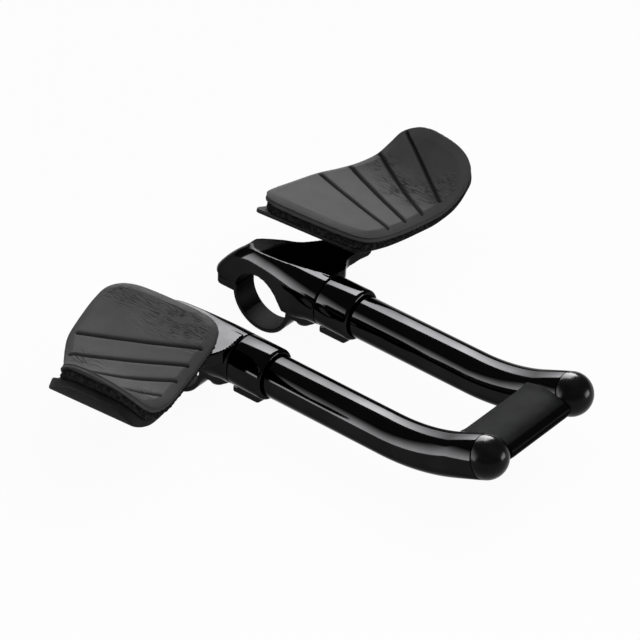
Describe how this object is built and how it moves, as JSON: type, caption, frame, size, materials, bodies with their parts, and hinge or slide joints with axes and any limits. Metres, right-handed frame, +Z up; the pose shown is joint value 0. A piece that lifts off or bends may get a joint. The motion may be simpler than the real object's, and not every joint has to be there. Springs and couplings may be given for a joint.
{
  "type": "aero handlebar extension",
  "caption": "Clip-on bicycle handlebar extension: bent tubes with a bridge between the tips, clamp brackets for a round handlebar and curved padded armrests.",
  "frame": {"origin": "on the handlebar clamp axis, midway between the clamps", "axes": "+X forward along the extensions, +Y to the rider's left along the clamp axis, +Z up"},
  "size_m": [0.2302, 0.2819, 0.0755],
  "materials": {
    "black_metal": "gloss black anodised aluminium",
    "bridge_metal": "satin charcoal",
    "bolt_steel": "black oxide steel",
    "plug_plastic": "gloss black",
    "plate_plastic": "moulded, fine grain",
    "hook_fabric": "hook-and-loop nap",
    "pad_foam": "moulded foam with a leather-like skin"
  },
  "bodies": {
    "root": {"left_bracket": "black_metal", "left_clamp_cap": "black_metal", "left_clamp_bolts": "bolt_steel", "left_set_screws": "bolt_steel", "left_extension": "black_metal", "left_end_plug": "plug_plastic", "left_armrest_plate": "plate_plastic", "left_armrest_bolts": "bolt_steel", "left_hook_sheet": "hook_fabric", "left_pad": "pad_foam", "right_bracket": "black_metal", "right_clamp_cap": "black_metal", "right_clamp_bolts": "bolt_steel", "right_set_screws": "bolt_steel", "right_extension": "black_metal", "right_end_plug": "plug_plastic", "right_armrest_plate": "plate_plastic", "right_armrest_bolts": "bolt_steel", "right_hook_sheet": "hook_fabric", "right_pad": "pad_foam", "bridge": "bridge_metal"}
  },
  "joints": []
}
